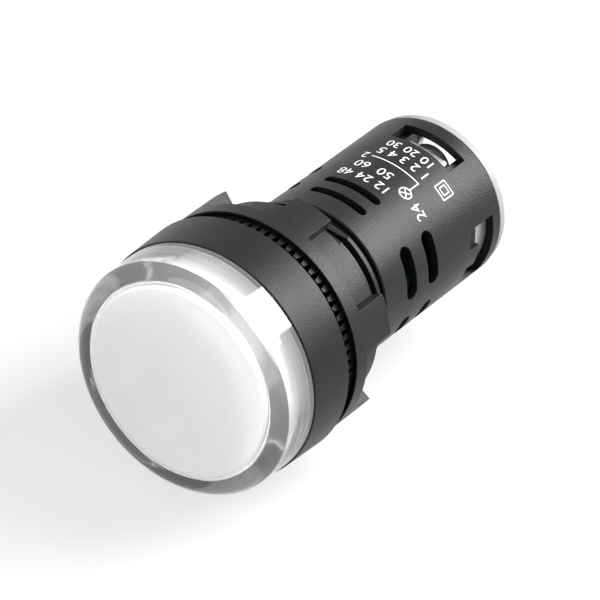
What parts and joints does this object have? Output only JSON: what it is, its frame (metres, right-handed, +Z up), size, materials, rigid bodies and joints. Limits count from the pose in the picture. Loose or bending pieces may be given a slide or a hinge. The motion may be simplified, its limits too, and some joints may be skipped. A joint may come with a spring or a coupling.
{
  "type": "panel pilot light",
  "caption": "Round LED pilot light with a clear lens, a threaded shank with toothed lock ring and nut for a panel hole, and a vented barrel with screw terminals.",
  "frame": {"origin": "on the lamp's axis, in the plane of the panel seat at the back of the bezel", "axes": "+Y runs along the lamp's axis towards the terminals, so the lens looks along -Y; +Z is up, through the upper terminal screw; +X is to the right as seen from the front"},
  "size_m": [0.0294, 0.0516, 0.0294],
  "materials": {
    "black_plastic": "fine spark-eroded matt texture",
    "inner_plastic": "plain moulded",
    "clear_lens": "polished, clear",
    "white_diffuser": "milky",
    "white_plastic": "smooth moulded",
    "rubber": "smooth",
    "circuit_board": "solder mask over glass laminate",
    "led_package": "white body with a yellow phosphor window",
    "tinned_wire": "tinned",
    "film_case": "dipped coating",
    "can_sleeve": "shrunk sleeve",
    "resistor_body": "flameproof lacquer",
    "rectifier_case": "moulded epoxy",
    "plated_brass": "nickel plated",
    "plated_steel": "nickel plated",
    "pale_cover": "pale, slightly translucent"
  },
  "bodies": {
    "lamp": {"housing": "black_plastic", "lens_cap": "clear_lens", "lens_seal": "rubber", "diffuser": "white_diffuser", "reflector": "white_plastic", "led_board": "circuit_board", "led_chips": "led_package", "lead_pins": "tinned_wire", "driver_board": "circuit_board", "film_capacitor": "film_case", "electrolytic_capacitor": "can_sleeve", "power_resistor": "resistor_body", "bridge_rectifier": "rectifier_case", "terminal_base": "inner_plastic", "terminal_upper": "plated_brass", "terminal_lower": "plated_brass", "rear_cover": "pale_cover", "panel_gasket": "rubber"},
    "ring": {"lock_ring": "black_plastic"},
    "nut": {"mounting_nut": "black_plastic"},
    "upper_clamp": {"clamp_upper": "plated_steel"},
    "lower_clamp": {"clamp_lower": "plated_steel"},
    "upper_screw": {"screw_upper": "plated_steel"},
    "lower_screw": {"screw_lower": "plated_steel"}
  },
  "joints": [
    {"name": "ring_slide", "type": "slide", "parent": "lamp", "child": "ring", "axis": [0, 1, 0], "range_m": [0, 0.0105]},
    {"name": "nut_turn", "type": "hinge", "parent": "ring", "child": "nut", "pos_m": [0, 0.0052, 0], "axis": [0, 1, 0], "range_deg": [0, 2520]},
    {"name": "upper_clamp_slide", "type": "slide", "parent": "lamp", "child": "upper_clamp", "axis": [0, 1, 0], "range_m": [0, 0.003]},
    {"name": "upper_screw_turn", "type": "hinge", "parent": "upper_clamp", "child": "upper_screw", "pos_m": [0, 0.0342, 0.0057], "axis": [0, 1, 0], "range_deg": [0, 2160]},
    {"name": "lower_clamp_slide", "type": "slide", "parent": "lamp", "child": "lower_clamp", "axis": [0, 1, 0], "range_m": [0, 0.003]},
    {"name": "lower_screw_turn", "type": "hinge", "parent": "lower_clamp", "child": "lower_screw", "pos_m": [0, 0.0342, -0.0057], "axis": [0, 1, 0], "range_deg": [0, 2160]}
  ],
  "couplings": [
    {"joint": "ring_slide", "follows": "nut_turn", "m_per_rad": 0.00023873},
    {"joint": "upper_screw_turn", "follows": "upper_clamp_slide", "rad_per_m": 12566},
    {"joint": "lower_screw_turn", "follows": "lower_clamp_slide", "rad_per_m": 12566}
  ]
}
